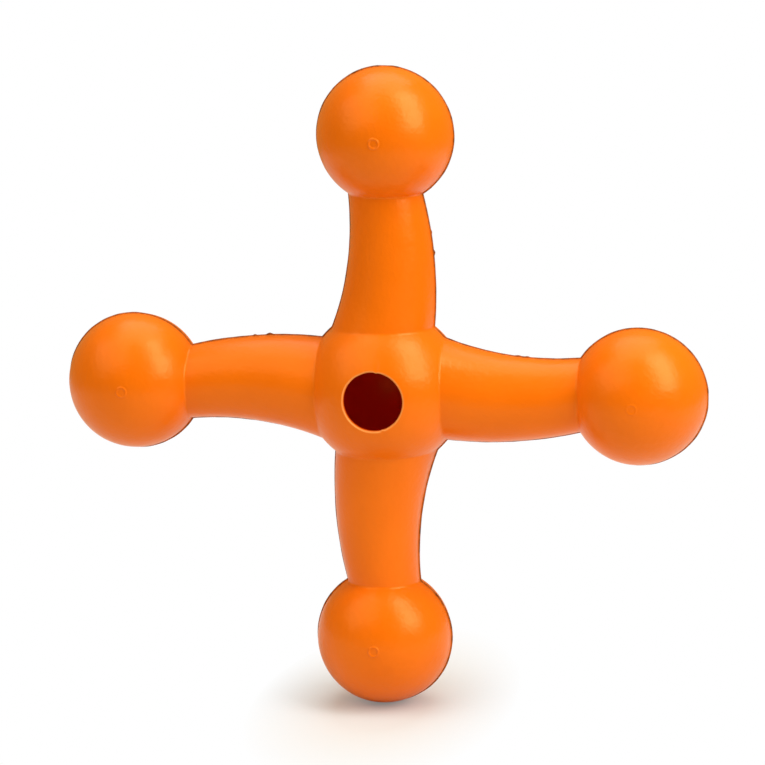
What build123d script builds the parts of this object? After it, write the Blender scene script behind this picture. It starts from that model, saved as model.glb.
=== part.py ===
from build123d import *
import math
import os

# Rubber chew toy: a hollow hub with a treat hole, four bowed arms and a ball on the end of each arm.
# Sizes are in millimetres. +Z is up, the origin is the hub's centre and the treat hole faces -Y.

# Driving sizes
ARM_REACH = 64.9  # hub centre to ball centre
BALL_DIAMETER = 35.2
ARM_ROOT_DIAMETER = 25.7  # where an arm lands on the hub
ARM_MIDDLE_DIAMETER = 22.2
ARM_NECK_DIAMETER = 18.9  # where an arm runs into its ball
ARM_BOW = 1.6  # how far an arm's middle stands off the straight line, clockwise seen from the front
ROOT_GAP = 4.7  # bare hub between the roots of two neighbouring arms
HUB_WALL = 3.5
TREAT_HOLE_DIAMETER = 15.0
TREAT_HOLE_RIM_RADIUS = 0.4
LIP_THICKNESS = 1.6  # the wall thins to this round the treat hole, so that a treat can be pushed in
LIP_REACH = 3.5  # how far from the hole's edge the thinning starts
MARK_RING_DIAMETER = 2.4  # raised ring that the mould leaves on the front of each ball
MARK_RING_BEAD = 0.3
SEAT_CLEARANCE = 0.15  # between an arm's hollowed end and the hub or ball that it sits on

# An arm's sections, as shares of the way from its middle to a crease. The outer two lie inside hub and ball.
ARM_SECTION_SHARES = (-1.25, -0.6, 0, 0.6, 1.25)

# Quarter turns about the hub's axis, clockwise seen from the front
ARM_TURNS = {"upper": 0, "right": 90, "lower": 180, "left": 270}

# Sizes that follow from the driving ones. The four roots land side by side, so they set the hub's size.
ARM_ROOT_RADIUS = ARM_ROOT_DIAMETER / 2
ARM_NECK_RADIUS = ARM_NECK_DIAMETER / 2
ROOT_CREASE_HEIGHT = ARM_ROOT_RADIUS + ROOT_GAP / math.sqrt(2)
HUB_RADIUS = math.hypot(ARM_ROOT_RADIUS, ROOT_CREASE_HEIGHT)
CHAMBER_RADIUS = HUB_RADIUS - HUB_WALL
BALL_RADIUS = BALL_DIAMETER / 2
NECK_CREASE_HEIGHT = ARM_REACH - math.sqrt(BALL_RADIUS**2 - ARM_NECK_RADIUS**2)
ARM_MIDDLE_HEIGHT = (ROOT_CREASE_HEIGHT + NECK_CREASE_HEIGHT) / 2
ARM_HALF_LENGTH = (NECK_CREASE_HEIGHT - ROOT_CREASE_HEIGHT) / 2
BOW_RADIUS = (ARM_HALF_LENGTH**2 + ARM_BOW**2) / (2 * ARM_BOW)
BOW_HALF_ANGLE = math.asin(ARM_HALF_LENGTH / BOW_RADIUS)


def make_hub():
    """Hollow ball with the treat hole through its front wall, which thins to a lip there, rim rounded."""
    hole_radius = TREAT_HOLE_DIAMETER / 2
    relief_radius = hole_radius + LIP_REACH
    lip_depth = math.sqrt(HUB_RADIUS**2 - hole_radius**2) - LIP_THICKNESS
    relief_depth = math.sqrt(CHAMBER_RADIUS**2 - relief_radius**2)
    relief_sketch = Pos(0, 0, relief_depth) * Circle(relief_radius)
    lip_sketch = Pos(0, 0, lip_depth) * Circle(hole_radius)
    relief = Rot(90, 0, 0) * loft([relief_sketch, lip_sketch])
    treat_hole = extrude(Plane.XZ * Circle(hole_radius), HUB_RADIUS)
    hub = Sphere(HUB_RADIUS) - Sphere(CHAMBER_RADIUS) - relief - treat_hole
    rim = hub.edges().filter_by(GeomType.CIRCLE).sort_by(Axis.Y)[0]
    return fillet(rim, TREAT_HOLE_RIM_RADIUS)


def arm_radius(share):
    """Radius of an arm's section: a curve through its root, middle and neck."""
    middle = ARM_MIDDLE_DIAMETER / 2
    slope = (ARM_NECK_RADIUS - ARM_ROOT_RADIUS) / 2
    waist = (ARM_NECK_RADIUS + ARM_ROOT_RADIUS) / 2 - middle
    return middle + slope * share + waist * share**2


def arm_section(share):
    """One round section of the upper arm, square to the arc that the arm is bowed along."""
    angle = BOW_HALF_ANGLE * share
    across = ARM_BOW - BOW_RADIUS + BOW_RADIUS * math.cos(angle)
    up = ARM_MIDDLE_HEIGHT + BOW_RADIUS * math.sin(angle)
    along = (-math.sin(angle), 0, math.cos(angle))
    return Plane((across, 0, up), x_dir=(0, 1, 0), z_dir=along) * Circle(arm_radius(share))


def make_upper_arm():
    """Bowed, tapering arm, hollowed at its root to sit on the hub and at its neck to sit on the ball."""
    blank = loft([arm_section(share) for share in ARM_SECTION_SHARES])
    hub_room = Sphere(HUB_RADIUS + SEAT_CLEARANCE)
    ball_room = Pos(0, 0, ARM_REACH) * Sphere(BALL_RADIUS + SEAT_CLEARANCE)
    return blank - hub_room - ball_room


def make_upper_ball():
    """Solid ball on the end of the upper arm, with the mould's small raised ring on its front."""
    ring_radius = MARK_RING_DIAMETER / 2
    ring_depth = math.sqrt(BALL_RADIUS**2 - ring_radius**2)
    ball = Sphere(BALL_RADIUS)
    ring = Pos(0, -ring_depth, 0) * Rot(90, 0, 0) * Torus(ring_radius, MARK_RING_BEAD / 2)
    return Pos(0, 0, ARM_REACH) * (ball + ring)


def main():
    os.makedirs("parts", exist_ok=True)
    nodes = {"hub": make_hub()}
    arm = make_upper_arm()
    ball = make_upper_ball()
    for side, turn in ARM_TURNS.items():
        nodes[side + "_arm"] = Rot(0, turn, 0) * arm
        nodes[side + "_ball"] = Rot(0, turn, 0) * ball
    for name, solid in nodes.items():
        export_step(solid, "parts/" + name + ".step")


main()
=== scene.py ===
import math

import bmesh
import bpy
import numpy as np
from mathutils import Matrix, Vector


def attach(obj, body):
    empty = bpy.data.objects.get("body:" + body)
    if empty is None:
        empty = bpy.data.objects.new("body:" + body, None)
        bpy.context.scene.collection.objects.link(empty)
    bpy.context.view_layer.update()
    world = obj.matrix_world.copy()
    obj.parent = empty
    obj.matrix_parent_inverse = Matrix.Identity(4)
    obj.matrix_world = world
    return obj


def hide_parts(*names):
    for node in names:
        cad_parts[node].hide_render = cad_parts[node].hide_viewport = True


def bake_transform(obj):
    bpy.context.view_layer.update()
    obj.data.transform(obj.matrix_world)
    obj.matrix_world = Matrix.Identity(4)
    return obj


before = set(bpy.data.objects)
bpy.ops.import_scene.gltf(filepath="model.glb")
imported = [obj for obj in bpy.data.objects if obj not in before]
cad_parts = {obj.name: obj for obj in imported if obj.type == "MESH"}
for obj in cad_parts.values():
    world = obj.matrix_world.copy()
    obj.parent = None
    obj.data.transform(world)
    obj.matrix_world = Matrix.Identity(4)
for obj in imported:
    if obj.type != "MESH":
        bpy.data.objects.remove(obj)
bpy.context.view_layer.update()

# Rubber chew toy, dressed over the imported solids. Lengths are in metres and angles in radians, in the part's
# own frame: +Z is up, the origin is the hub's centre and the treat hole faces -Y.

# Main sizes, as in the solids
ARM_REACH = 0.0649  # hub centre to ball centre
BALL_RADIUS = 0.0176
ARM_ROOT_RADIUS = 0.01285
ARM_MIDDLE_RADIUS = 0.0111
ARM_NECK_RADIUS = 0.00945
ARM_BOW = 0.0016  # how far an arm's middle stands off the straight line
ROOT_GAP = 0.0047  # bare hub between the roots of two neighbouring arms
HUB_WALL = 0.0035
MOUTH_RADIUS = 0.0075
RIM_RADIUS = 0.0004
LIP_THICKNESS = 0.0016  # the wall thins to this round the treat hole
LIP_REACH = 0.0035  # how far from the hole's edge the thinning starts
MARK_RING_RADIUS = 0.0012

# Quarter turns about the hub's axis, clockwise seen from the front
ARM_TURNS = {"upper": 0, "right": math.pi / 2, "lower": math.pi, "left": 3 * math.pi / 2}

# Parting line of the two mould halves, all round the toy in its mid-plane
RIDGE_HEIGHT = 0.00042
RIDGE_HALF_WIDTH = 0.00022
RIDGE_WAVE = 0.006  # how soon the ridge changes in height
RIDGE_LEAST_SHARE = 0.85  # its lowest stretches, as a share of its full height
RIDGE_SEED = 3
SEAM_SHADE_HALF_WIDTH = 0.00045  # painted shade along the ridge, darker than the rubber

# Scraps of flash left on the parting line: arm, side (1 is the bowed side), distance from the hub's centre,
# height and half length
FLASH_SCRAPS = (
    ("left", 1, 0.0337, 0.00022, 0.0006),
    ("left", 1, 0.0299, 0.00034, 0.0011),
    ("right", -1, 0.0342, 0.00014, 0.0010),
    ("right", -1, 0.0366, 0.00016, 0.0008),
    ("upper", 1, 0.0353, 0.00030, 0.0009),
    ("upper", 1, 0.0405, 0.00016, 0.0007),
)

# Slight unevenness of a moulded rubber skin
SKIN_DEPTH = 0.0003  # the skin lies this far under the solids' surface and leaves room for most of the ridge
UNEVEN_HEIGHT = 0.00003
UNEVEN_WAVE = 0.016
UNEVEN_SEED = 5

# Small details
CREASE_ROUNDING = 0.0004  # how far the rounding in a crease reaches over each side
SKIRT_REACH = 0.0003  # an arm's skin runs on this far beyond its crease
SKIRT_DEPTH = 0.00025  # and goes this far under its neighbour's skin
CAP_DEPTH = 0.0008  # the hidden ends of an arm's skin lie this far under its neighbours' skin
MARK_RING_HEIGHT = 0.00021
MARK_RING_HALF_WIDTH = 0.0004
MARK_RING_SHARES = {"upper": 0.9, "right": 0.4, "lower": 1, "left": 0.75}  # of its height that each has kept
RIM_WAVE = 0.005
RIM_UNEVEN = 0.00007  # how far the hole's edge strays
RIM_SEED = 7
RIM_BAND = 0.0019  # the hole's uneven edge fades out this far from it
RIM_BAND_DEPTH = 0.0008  # and this far under the hub's skin
RIM_SCRAP_ANGLES = (1.46, 5.05)  # about the hub's axis, from +X towards +Z
RIM_SCRAP_HEIGHT = 0.00032
RIM_SCRAP_HALF_LENGTH = 0.0007

# Steps of the meshes
COARSE_STEP = 0.07  # radians, on round skins
FINE_REACH = 0.045  # radians either side of a raised line
FINE_STEP = 0.0045
BALL_COLUMNS = 192
HUB_COLUMNS = 288
ARM_RINGS = 120
QUARTER_COLUMNS = 24  # of an arm, from its parting line to its front or back
ROUNDING_SHARES = (0.0, 0.2, 0.4, 0.6, 0.8, 1.0)
BURIED_SHARE = 1.3  # of the way from an arm's middle to a crease, surely inside the neighbour
CLEAR_SHARE = 0.6  # of the same way, surely outside it
BISECTIONS = 40  # steps of the search for a crease
WAVES = 14  # sines that add up to an unevenness

# Sizes that follow
HALF_SPAN = ARM_REACH + BALL_RADIUS
ROOT_CREASE_HEIGHT = ARM_ROOT_RADIUS + ROOT_GAP / math.sqrt(2)
HUB_RADIUS = math.hypot(ARM_ROOT_RADIUS, ROOT_CREASE_HEIGHT)
CHAMBER_RADIUS = HUB_RADIUS - HUB_WALL
NECK_CREASE_HEIGHT = ARM_REACH - math.sqrt(BALL_RADIUS**2 - ARM_NECK_RADIUS**2)
ARM_MIDDLE_HEIGHT = (ROOT_CREASE_HEIGHT + NECK_CREASE_HEIGHT) / 2
ARM_HALF_LENGTH = (NECK_CREASE_HEIGHT - ROOT_CREASE_HEIGHT) / 2
BOW_RADIUS = (ARM_HALF_LENGTH**2 + ARM_BOW**2) / (2 * ARM_BOW)
BOW_HALF_ANGLE = math.asin(ARM_HALF_LENGTH / BOW_RADIUS)
HUB_SKIN = HUB_RADIUS - SKIN_DEPTH
BALL_SKIN = BALL_RADIUS - SKIN_DEPTH
HUB_CENTRE = np.zeros(3)
BALL_CENTRE = np.array([0, 0, ARM_REACH])

# Rubber
ORANGE = (0.92, 0.168, 0.002, 1)
DEEP_ORANGE = (0.88, 0.156, 0.001, 1)
# painted shade along the parting line
SEAM_SHADE_BROWN = (0.06, 0.015, 0.005, 1)
RIM_HIGHLIGHT_ORANGE = (0.95, 0.32, 0.08, 1)  # painted highlight on the thin rim of the treat hole
# painted shade in the chamber: darker and redder than the rubber
CHAMBER_SHADE_RED = (0.88, 0.04, 0.001, 1)
WARM_GLOSS = (1, 0.82, 0.31, 1)
GLOSS_SHARE = 0.46
ROUGHNESS_SHARES = (0.285, 0.34)
SEAM_ROUGHNESS_SHARE = 0.9
LEAST_SEAM_SHADE_SHARE = 0.6  # of the painted shade on the parting line, where its patches are weakest
CLOUD_SIZE = 0.014
SATIN_SIZE = 0.004
# size of the patches in the painted shade along the parting line
SEAM_SHADE_PATCH_SIZE = 0.0014
GRAIN_SIZE = 0.0012
GRAIN_HEIGHT = 0.00017
GRAIN_SHARE = 0.5
NOISE_DETAIL = 3
NOISE_SHARES = (0.35, 0.65)  # the part of the noise's range that is used

# Camera
CAMERA_PLACE = (0.17449, -1.00542, 0.20212)
CAMERA_AIM = (-0.00066, 0, 0.00141)
CAMERA_LENS_MM = 192.25
SENSOR_MM = 36

# Light: direction from the toy, direction of its length, width, length and radiance of each soft box
BOX_DISTANCE = 1.0
SOFT_BOXES = {
    "key": ((0.668, -0.262, 0.698), (-0.604, 0.573, 0.553), 0.58, 1.10, 5.6),
    "fill": ((-0.54, -0.45, 0.71), (1, 0, 0), 1.00, 1.00, 1.15),
    "overhead": ((-0.06, 0.25, 0.97), (1, 0, 0), 0.90, 0.80, 1.75),
}
ROOM_LIGHT = (0.36, 0.305, 0.10, 1)  # weak and warm, all round
WHITE = (1, 1, 1, 1)
FLOOR_HALF_WIDTH = 0.4
FLOOR_GREY = (0.70, 0.70, 0.72, 1)
SHADOW_RADIUS = 0.012  # the floor fades from here to plain white
WHITE_RADIUS = 0.034
SHADOW_DEPTH_SHARE = 0.42  # the fade is this much slower to the front and back than sideways
LEAST_WHITE_SHARE = 0.2  # of plain white, in the middle of the shadow


def unit(directions):
    """The same directions with length 1."""
    return directions / np.linalg.norm(directions, axis=-1, keepdims=True)


def bead(share):
    """Smooth bump: 1 at 0, and 0 from -1 down and from 1 up."""
    return np.clip(1 - share**2, 0, 1) ** 2


def waver(points, wave, seed):
    """Smooth, repeatable unevenness from -1 to 1 that changes over about the given wave length."""
    dice = np.random.default_rng(seed)
    pushes = dice.normal(size=(WAVES, 3)) * math.pi / wave
    starts = dice.uniform(0, 2 * math.pi, WAVES)
    return np.clip(np.sin(points @ pushes.T + starts).sum(axis=-1) / math.sqrt(WAVES), -1, 1)


def turned(points, turn):
    """Points or directions turned clockwise about the hub's axis, seen from the front."""
    x, y, z = np.moveaxis(points, -1, 0)
    across = x * math.cos(turn) + z * math.sin(turn)
    up = z * math.cos(turn) - x * math.sin(turn)
    return np.stack([across, y, up], axis=-1)


def dressed(points, out):
    """Skin points moved out by the parting line, which is trimmed flush at the toy's four ends, and by the
    unevenness, and how much each belongs to the line, which sets the painted shade along it."""
    away = points[..., 1]
    middle = (1 + RIDGE_LEAST_SHARE) / 2
    swing = (1 - RIDGE_LEAST_SHARE) / 2
    strength = middle + swing * waver(points, RIDGE_WAVE, RIDGE_SEED)
    ridge = RIDGE_HEIGHT * strength * bead(away / RIDGE_HALF_WIDTH)
    uneven = UNEVEN_HEIGHT * waver(points, UNEVEN_WAVE, UNEVEN_SEED)
    # how strongly the painted shade along the parting line shows, a little wider than the ridge
    seam = strength * bead(away / SEAM_SHADE_HALF_WIDTH)
    raised = points + (ridge + uneven)[..., None] * out
    return np.clip(raised, -HALF_SPAN, HALF_SPAN), seam


def graded(low, high, fine_places):
    """Angles from low to high in coarse steps, with fine steps near some of them."""
    angles = [np.arange(low, high, COARSE_STEP)]
    for place in fine_places:
        angles.append(np.arange(place - FINE_REACH, place + FINE_REACH, FINE_STEP))
    angles = np.sort(np.concatenate(angles))
    angles = angles[(angles > low + FINE_STEP) & (angles < high - FINE_STEP)]
    clear = np.diff(angles, prepend=low) > FINE_STEP / 2
    return angles[clear]


def turn_outward(mesh):
    """Turns all faces of a closed mesh to the outside."""
    sides = bmesh.new()
    sides.from_mesh(mesh)
    bmesh.ops.recalc_face_normals(sides, faces=sides.faces)
    sides.to_mesh(mesh)
    sides.free()


def skinned(name, rings, poles, masks):
    """Mesh piece over a stack of rings of points, closed by a fan at each end, with its material's masks."""
    stack, columns = rings.shape[:2]
    this = np.arange(columns)
    following = (this + 1) % columns
    faces = []
    for row in range(stack - 1):
        low = row * columns
        high = low + columns
        faces += np.stack([low + this, low + following, high + following, high + this], axis=1).tolist()
    first_pole = stack * columns
    last_ring = first_pole - columns
    last_pole = first_pole + 1
    for column, neighbour in zip(this.tolist(), following.tolist()):
        faces.append([first_pole, neighbour, column])
        faces.append([last_pole, last_ring + column, last_ring + neighbour])
    mesh = bpy.data.meshes.new(name)
    mesh.from_pydata(np.vstack([rings.reshape(-1, 3), poles]).tolist(), [], faces)
    for mask_name, mask in masks.items():
        values = np.concatenate([mask.reshape(-1), [mask[0].mean(), mask[-1].mean()]])
        attribute = mesh.attributes.new(mask_name, "FLOAT", "POINT")
        attribute.data.foreach_set("value", values.astype(np.float32))
    turn_outward(mesh)
    mesh.shade_smooth()
    piece = bpy.data.objects.new(name, mesh)
    bpy.context.scene.collection.objects.link(piece)
    return piece


def finished(piece, node, material):
    """Gives a piece its material and slot, and lets it stand for its CAD node."""
    piece.data.materials.append(material)
    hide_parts(node)


def make_ball(side, material):
    """Ball with the parting line round it and the mould's small raised ring on its front."""
    ring_tilt = MARK_RING_RADIUS / BALL_SKIN
    tilts = graded(0, math.pi, (ring_tilt, math.pi / 2))
    arounds = np.linspace(0, 2 * math.pi, BALL_COLUMNS, endpoint=False)
    tilt, around = np.meshgrid(tilts, arounds, indexing="ij")
    out = np.stack([np.sin(tilt) * np.cos(around), -np.cos(tilt), np.sin(tilt) * np.sin(around)], axis=-1)
    centre = turned(BALL_CENTRE, ARM_TURNS[side])
    points, seam = dressed(centre + BALL_SKIN * out, out)
    height = MARK_RING_HEIGHT * MARK_RING_SHARES[side]
    ring = height * bead((BALL_SKIN * tilt - MARK_RING_RADIUS) / MARK_RING_HALF_WIDTH)
    points = points + ring[..., None] * out
    poles = [centre - [0, BALL_SKIN, 0], centre + [0, BALL_SKIN, 0]]
    piece = skinned(side + "_ball_skin", points, poles, {"seam": seam})
    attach(piece, side + "_ball")
    finished(piece, side + "_ball", material)


def arm_radius(share):
    """Radius of an arm's section, at a share of the way from its middle to a crease."""
    slope = (ARM_NECK_RADIUS - ARM_ROOT_RADIUS) / 2
    waist = (ARM_NECK_RADIUS + ARM_ROOT_RADIUS) / 2 - ARM_MIDDLE_RADIUS
    return ARM_MIDDLE_RADIUS - SKIN_DEPTH + slope * share + waist * share**2


def arm_skin(share, around):
    """Points on the upper arm's skin and the directions out of it."""
    angle = BOW_HALF_ANGLE * share
    out = np.stack([np.cos(angle) * np.cos(around), np.sin(around), np.sin(angle) * np.cos(around)], axis=-1)
    across = ARM_BOW - BOW_RADIUS + BOW_RADIUS * np.cos(angle)
    up = ARM_MIDDLE_HEIGHT + BOW_RADIUS * np.sin(angle)
    middle = np.stack([across, np.zeros_like(up), up], axis=-1)
    return middle + arm_radius(share)[..., None] * out, out


def crease_share(around, end, centre, radius):
    """Share at which the arm's skin meets its round neighbour, at the root (end -1) or the neck (end 1)."""
    buried = np.full_like(around, end * BURIED_SHARE)
    clear = np.full_like(around, end * CLEAR_SHARE)
    for _ in range(BISECTIONS):
        middle = (buried + clear) / 2
        away = np.linalg.norm(arm_skin(middle, around)[0] - centre, axis=-1)
        buried = np.where(away < radius, middle, buried)
        clear = np.where(away < radius, clear, middle)
    return clear


def crease_rings(around, crease, inward, centre, radius):
    """Rings from the arm's skin round its crease and under the neighbour's skin, and the directions out."""
    start, start_out = arm_skin(crease + inward * CREASE_ROUNDING / ARM_HALF_LENGTH, around)
    corner, corner_out = arm_skin(crease, around)
    neighbour_out = unit(corner - centre)
    sideways = unit(corner_out - (corner_out * neighbour_out).sum(axis=-1, keepdims=True) * neighbour_out)
    end = centre + radius * unit(corner + CREASE_ROUNDING * sideways - centre)
    hem = corner + (CREASE_ROUNDING + SKIRT_REACH) * sideways - centre
    rings, outs = [], []
    for share in ROUNDING_SHARES:
        rings.append((1 - share) ** 2 * start + 2 * share * (1 - share) * corner + share**2 * end)
        outs.append(unit((1 - share) * start_out + share * neighbour_out))
    rings.append(centre + (radius - SKIRT_DEPTH) * unit(hem))
    outs.append(neighbour_out)
    return np.array(rings), np.array(outs)


def arm_columns():
    """Directions around an arm, close together at the parting line on its two sides."""
    shares = np.arange(QUARTER_COLUMNS + 1) / QUARTER_COLUMNS
    rising = shares**2 * math.pi / 2
    falling = math.pi - rising[-2:0:-1]
    half = np.concatenate([rising, falling])
    return np.concatenate([half, half + math.pi])


def flash_scraps(side, points, around):
    """Height of the scraps of flash on one arm, over points of the upper arm."""
    height = np.zeros_like(around)
    for arm, which, place, tall, half_length in FLASH_SCRAPS:
        if arm != side:
            continue
        on_side = np.cos(around) * which > 0
        lengthways = bead((points[..., 2] - place) / half_length)
        height += on_side * tall * lengthways * bead(points[..., 1] / RIDGE_HALF_WIDTH)
    return height


def upper_arm_rings(columns):
    """Rings over the upper arm, from under the hub's skin to under the ball's, and the directions out."""
    root = crease_share(columns, -1, HUB_CENTRE, HUB_SKIN)
    neck = crease_share(columns, 1, BALL_CENTRE, BALL_SKIN)
    rounding = CREASE_ROUNDING / ARM_HALF_LENGTH
    steps = np.linspace(0, 1, ARM_RINGS)[1:-1, None]
    shares = (root + rounding) * (1 - steps) + (neck - rounding) * steps
    shaft, shaft_out = arm_skin(shares, np.broadcast_to(columns, shares.shape))
    root_rings, root_out = crease_rings(columns, root, 1, HUB_CENTRE, HUB_SKIN)
    neck_rings, neck_out = crease_rings(columns, neck, -1, BALL_CENTRE, BALL_SKIN)
    points = np.concatenate([root_rings[::-1], shaft, neck_rings])
    out = np.concatenate([root_out[::-1], shaft_out, neck_out])
    return points, out


def make_arm(side, material):
    """Bowed, tapering arm whose ends are rounded into the hub and the ball."""
    columns = arm_columns()
    points, out = upper_arm_rings(columns)
    scraps = flash_scraps(side, points, np.broadcast_to(columns, points.shape[:2]))
    turn = ARM_TURNS[side]
    out = turned(out, turn)
    points, seam = dressed(turned(points, turn), out)
    points = points + scraps[..., None] * out
    # the flash scraps carry the painted shade of the parting line too
    seam = np.clip(seam + scraps / RIDGE_HEIGHT, 0, 1)
    root_pole = turned(np.array([0, 0, HUB_SKIN - CAP_DEPTH]), turn)
    neck_pole = turned(np.array([0, 0, ARM_REACH - BALL_SKIN + CAP_DEPTH]), turn)
    piece = skinned(side + "_arm_skin", points, [root_pole, neck_pole], {"seam": seam})
    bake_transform(piece)
    finished(piece, side + "_arm", material)


def hub_outline():
    """Half section of the hub from the chamber's back to the hub's back: distance from the axis, place along
    it, the direction out in both, how far inside each point is, which sets the chamber's painted shade, and
    how much painted highlight it has on the hole's rim."""
    relief_radius = MOUTH_RADIUS + LIP_REACH
    relief_tilt = math.pi - math.asin(relief_radius / CHAMBER_RADIUS)
    relief_place = -math.sqrt(CHAMBER_RADIUS**2 - relief_radius**2)
    lip_place = LIP_THICKNESS - math.sqrt(HUB_SKIN**2 - MOUTH_RADIUS**2)
    rim_middle = MOUTH_RADIUS + RIM_RADIUS
    rim_place = -math.sqrt((HUB_SKIN - RIM_RADIUS) ** 2 - rim_middle**2)
    rim_end = math.atan2(rim_middle, -rim_place)
    rows = []
    # the chamber, all in painted shade
    for tilt in np.arange(COARSE_STEP, relief_tilt, COARSE_STEP):
        sine, cosine = math.sin(tilt), math.cos(tilt)
        rows.append((CHAMBER_RADIUS * sine, CHAMBER_RADIUS * cosine, -sine, -cosine, 1, 0))
    slope = math.atan2(LIP_REACH, relief_place - lip_place)
    for share in ROUNDING_SHARES:
        place = relief_place + share * (lip_place - relief_place)
        rows.append((relief_radius - share * LIP_REACH, place, -math.cos(slope), math.sin(slope), 1, 0))
    for share in ROUNDING_SHARES[1:-1]:
        # the chamber's painted shade fades out along the hole's wall
        rows.append((MOUTH_RADIUS, lip_place + share * (rim_place - lip_place), -1, 0, 1 - share, 0))
    for share in ROUNDING_SHARES:
        lean = -math.pi / 2 + share * (rim_end + math.pi / 2)
        sine, cosine = math.sin(lean), math.cos(lean)
        away = rim_middle + RIM_RADIUS * sine
        place = rim_place - RIM_RADIUS * cosine
        # painted highlight along the rim's rounding, strongest at its middle
        rows.append((away, place, sine, -cosine, 0, math.sin(math.pi * share)))
    for tilt in graded(rim_end + COARSE_STEP / 2, math.pi, (math.pi / 2,)):
        sine, cosine = math.sin(tilt), math.cos(tilt)
        rows.append((HUB_SKIN * sine, -HUB_SKIN * cosine, sine, -cosine, 0, 0))
    return np.array(rows)


def rim_burr(arounds, cosine, sine):
    """How far the hole's edge reaches towards its axis: a little unevenness and two scraps of flash."""
    edge = MOUTH_RADIUS * np.stack([cosine, np.zeros_like(cosine), sine], axis=-1)
    burr = RIM_UNEVEN * waver(edge, RIM_WAVE, RIM_SEED)
    for angle in RIM_SCRAP_ANGLES:
        turn = (arounds - angle + math.pi) % (2 * math.pi) - math.pi
        burr = burr + RIM_SCRAP_HEIGHT * bead(MOUTH_RADIUS * turn / RIM_SCRAP_HALF_LENGTH)
    return burr


def make_hub(material):
    """Hollow hub with the treat hole, whose rim is uneven, and the parting line between the arms."""
    arounds = np.linspace(0, 2 * math.pi, HUB_COLUMNS, endpoint=False)
    cosine, sine = np.cos(arounds), np.sin(arounds)
    everywhere = np.ones_like(arounds)
    away, place, out_away, out_place, inside, rim_highlight = [values[:, None] for values in hub_outline().T]
    points = np.stack([away * cosine, place * everywhere, away * sine], axis=-1)
    out = np.stack([out_away * cosine, out_place * everywhere, out_away * sine], axis=-1)
    outer = inside == 0
    on_skin, seam = dressed(points, out)
    points = np.where(outer[..., None], on_skin, points)
    depth = np.linalg.norm(points, axis=-1) - HUB_SKIN
    near_rim = bead(depth / RIM_BAND_DEPTH) * bead((away - MOUTH_RADIUS) / RIM_BAND)
    towards_axis = np.stack([-cosine, np.zeros_like(cosine), -sine], axis=-1)
    points = points + (near_rim * rim_burr(arounds, cosine, sine))[..., None] * towards_axis
    poles = [[0, CHAMBER_RADIUS, 0], [0, HUB_SKIN, 0]]
    masks = {"seam": np.where(outer, seam, 0), "inside": inside * everywhere, "rim_highlight": rim_highlight * everywhere}
    piece = skinned("hub_skin", points, poles, masks)
    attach(piece, "hub")
    finished(piece, "hub", material)


def add_node(tree, kind, **values):
    """Shader node with some of its settings and inputs set by name."""
    node = tree.nodes.new(kind)
    for name, value in values.items():
        if hasattr(node, name):
            setattr(node, name, value)
        else:
            node.inputs[name.replace("_", " ")].default_value = value
    return node


def add_mask(tree, name):
    """One of the masks that a skin carries. A skin without it counts as 0."""
    return add_node(tree, "ShaderNodeAttribute", attribute_name=name).outputs["Fac"]


def add_range(tree, value, from_low, from_high, to_low, to_high):
    """Value carried from one range to another, held at the ends."""
    ends = {"From_Min": from_low, "From_Max": from_high, "To_Min": to_low, "To_Max": to_high}
    node = add_node(tree, "ShaderNodeMapRange", **ends)
    tree.links.new(value, node.inputs["Value"])
    return node.outputs["Result"]


def add_noise(tree, place, size):
    """Noise over the toy's own coordinates, with features of about the given size."""
    noise = add_node(tree, "ShaderNodeTexNoise", Scale=1 / size, Detail=NOISE_DETAIL)
    tree.links.new(place, noise.inputs["Vector"])
    return noise.outputs["Fac"]


def add_patches(tree, place, size, low, high):
    """Soft patches of about the given size, from a low value to a high one."""
    return add_range(tree, add_noise(tree, place, size), *NOISE_SHARES, low, high)


def add_math(tree, operation, first, second):
    """Two sockets joined by a sum or the like."""
    node = add_node(tree, "ShaderNodeMath", operation=operation)
    tree.links.new(first, node.inputs[0])
    tree.links.new(second, node.inputs[1])
    return node.outputs["Value"]


def add_shader_mix(tree, share, first, second):
    """Shader mixed by a share."""
    mix = add_node(tree, "ShaderNodeMixShader")
    tree.links.new(share, mix.inputs["Fac"])
    tree.links.new(first, mix.inputs[1])
    tree.links.new(second, mix.inputs[2])
    return mix.outputs["Shader"]


def add_mix(tree, share, first, second):
    """Colour mixed by a share. Each colour is a socket or a plain value."""
    mix = add_node(tree, "ShaderNodeMix", data_type="RGBA")
    tree.links.new(share, mix.inputs["Factor"])
    for name, colour in (("A", first), ("B", second)):
        socket = next(slot for slot in mix.inputs if slot.name == name and slot.type == "RGBA")
        if isinstance(colour, tuple):
            socket.default_value = colour
        else:
            tree.links.new(colour, socket)
    return next(slot for slot in mix.outputs if slot.type == "RGBA")


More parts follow.
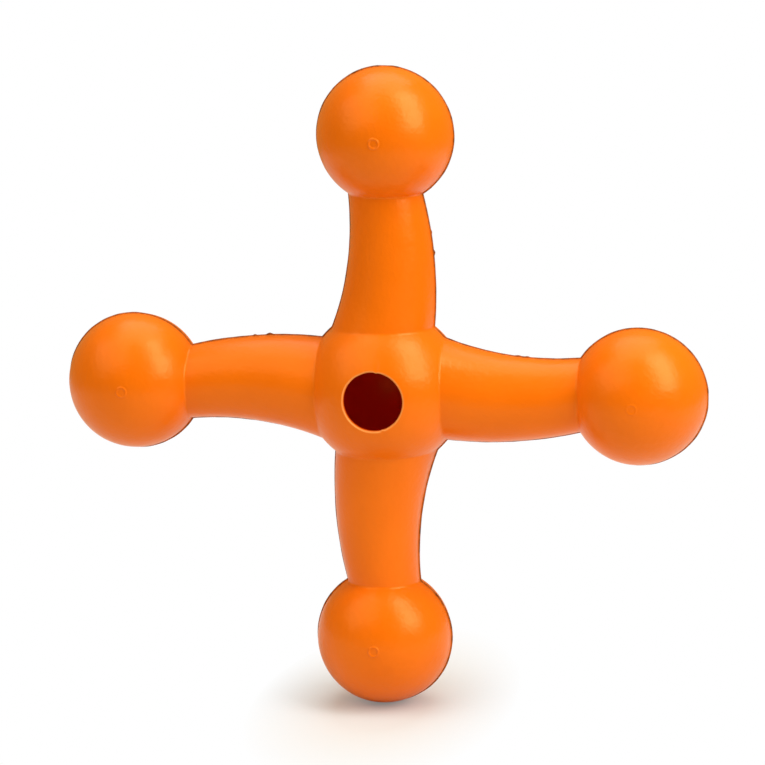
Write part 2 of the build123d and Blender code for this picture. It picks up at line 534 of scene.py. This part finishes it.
def make_rubber():
    """Satin orange rubber: cloudy colour, faint grain, painted shade along the parting line, a painted
    highlight on the treat hole's rim and painted shade in the chamber, deep red.
    """
    material = bpy.data.materials.new("orange_rubber")
    material.use_nodes = True
    tree = material.node_tree
    shader = tree.nodes["Principled BSDF"]
    place = add_node(tree, "ShaderNodeTexCoord").outputs["Object"]
    # patches in which the painted shade along the parting line is weaker or stronger
    seam_shade_patches = add_patches(tree, place, SEAM_SHADE_PATCH_SIZE, LEAST_SEAM_SHADE_SHARE, 1)
    seam = add_math(tree, "MULTIPLY", add_mask(tree, "seam"), seam_shade_patches)
    colour = add_mix(tree, add_patches(tree, place, CLOUD_SIZE, 0, 1), ORANGE, DEEP_ORANGE)
    # parting line darkened with painted shade
    colour = add_mix(tree, seam, colour, SEAM_SHADE_BROWN)
    # painted highlight on the rim of the treat hole
    colour = add_mix(tree, add_mask(tree, "rim_highlight"), colour, RIM_HIGHLIGHT_ORANGE)
    # painted shade in the chamber and along the hole's wall
    colour = add_mix(tree, add_mask(tree, "inside"), colour, CHAMBER_SHADE_RED)
    tree.links.new(colour, shader.inputs["Base Color"])
    satin = add_patches(tree, place, SATIN_SIZE, *ROUGHNESS_SHARES)
    dull = add_range(tree, seam, 0, 1, 0, SEAM_ROUGHNESS_SHARE)
    tree.links.new(add_math(tree, "MAXIMUM", satin, dull), shader.inputs["Roughness"])
    shader.inputs["Specular Tint"].default_value = WARM_GLOSS
    shader.inputs["Specular IOR Level"].default_value = GLOSS_SHARE
    bump = add_node(tree, "ShaderNodeBump", Strength=GRAIN_SHARE, Distance=GRAIN_HEIGHT)
    tree.links.new(add_noise(tree, place, GRAIN_SIZE), bump.inputs["Height"])
    tree.links.new(bump.outputs["Normal"], shader.inputs["Normal"])
    return material


def make_camera():
    """Camera at the photograph's viewing angle."""
    data = bpy.data.cameras.new("camera")
    data.lens = CAMERA_LENS_MM
    data.sensor_width = SENSOR_MM
    camera = bpy.data.objects.new("camera", data)
    camera.location = CAMERA_PLACE
    view = Vector(CAMERA_AIM) - Vector(CAMERA_PLACE)
    camera.rotation_euler = view.to_track_quat("-Z", "Y").to_euler()
    bpy.context.scene.collection.objects.link(camera)
    bpy.context.scene.camera = camera


def make_soft_boxes():
    """Soft boxes facing the toy."""
    for name, (direction, lengthways, width, length, radiance) in SOFT_BOXES.items():
        data = bpy.data.lights.new(name, "AREA")
        data.shape = "RECTANGLE"
        data.size = width
        data.size_y = length
        data.energy = radiance * math.pi * width * length
        away = Vector(direction).normalized()
        across = Vector(lengthways).cross(away).normalized()
        along = away.cross(across)
        lamp = bpy.data.objects.new(name, data)
        lamp.location = BOX_DISTANCE * away
        lamp.rotation_euler = Matrix((across, along, away)).transposed().to_euler()
        bpy.context.scene.collection.objects.link(lamp)


def make_surroundings():
    """White background, and weak warm light all round."""
    world = bpy.data.worlds.new("surroundings")
    world.use_nodes = True
    bpy.context.scene.world = world
    tree = world.node_tree
    background = tree.nodes["Background"]
    ray = add_node(tree, "ShaderNodeLightPath")
    colour = add_mix(tree, ray.outputs["Is Camera Ray"], ROOM_LIGHT, WHITE)
    tree.links.new(colour, background.inputs["Color"])


def make_floor_paint():
    """Pale floor that keeps the toy's shadow, is white to the camera away from it and clear from below."""
    material = bpy.data.materials.new("pale_floor")
    material.use_nodes = True
    tree = material.node_tree
    tree.nodes.remove(tree.nodes["Principled BSDF"])
    place = add_node(tree, "ShaderNodeTexCoord").outputs["Object"]
    flattened = add_node(tree, "ShaderNodeVectorMath", operation="MULTIPLY")
    flattened.inputs[1].default_value = (1, SHADOW_DEPTH_SHARE, 1)
    tree.links.new(place, flattened.inputs[0])
    away = add_node(tree, "ShaderNodeVectorMath", operation="LENGTH")
    tree.links.new(flattened.outputs["Vector"], away.inputs[0])
    fade = add_range(tree, away.outputs["Value"], SHADOW_RADIUS, WHITE_RADIUS, LEAST_WHITE_SHARE, 1)
    seen = add_node(tree, "ShaderNodeLightPath").outputs["Is Camera Ray"]
    paint = add_node(tree, "ShaderNodeBsdfDiffuse", Color=FLOOR_GREY).outputs["BSDF"]
    white = add_node(tree, "ShaderNodeEmission", Color=WHITE).outputs["Emission"]
    ground = add_shader_mix(tree, add_math(tree, "MULTIPLY", fade, seen), paint, white)
    under = add_node(tree, "ShaderNodeNewGeometry").outputs["Backfacing"]
    clear = add_node(tree, "ShaderNodeBsdfTransparent").outputs["BSDF"]
    one_sided = add_shader_mix(tree, under, ground, clear)
    tree.links.new(one_sided, tree.nodes["Material Output"].inputs["Surface"])
    return material


def make_floor():
    """Square floor under the lower ball."""
    corners = [(-1, -1), (1, -1), (1, 1), (-1, 1)]
    mesh = bpy.data.meshes.new("floor")
    places = [(x * FLOOR_HALF_WIDTH, y * FLOOR_HALF_WIDTH, 0) for x, y in corners]
    mesh.from_pydata(places, [], [range(len(corners))])
    mesh.materials.append(make_floor_paint())
    floor = bpy.data.objects.new("floor", mesh)
    floor.location = (0, 0, -HALF_SPAN)
    bpy.context.scene.collection.objects.link(floor)


bpy.context.scene.view_settings.view_transform = "Standard"
make_camera()
rubber = make_rubber()
make_hub(rubber)
for arm_side in ARM_TURNS:
    make_arm(arm_side, rubber)
    make_ball(arm_side, rubber)
make_soft_boxes()
make_surroundings()
make_floor()
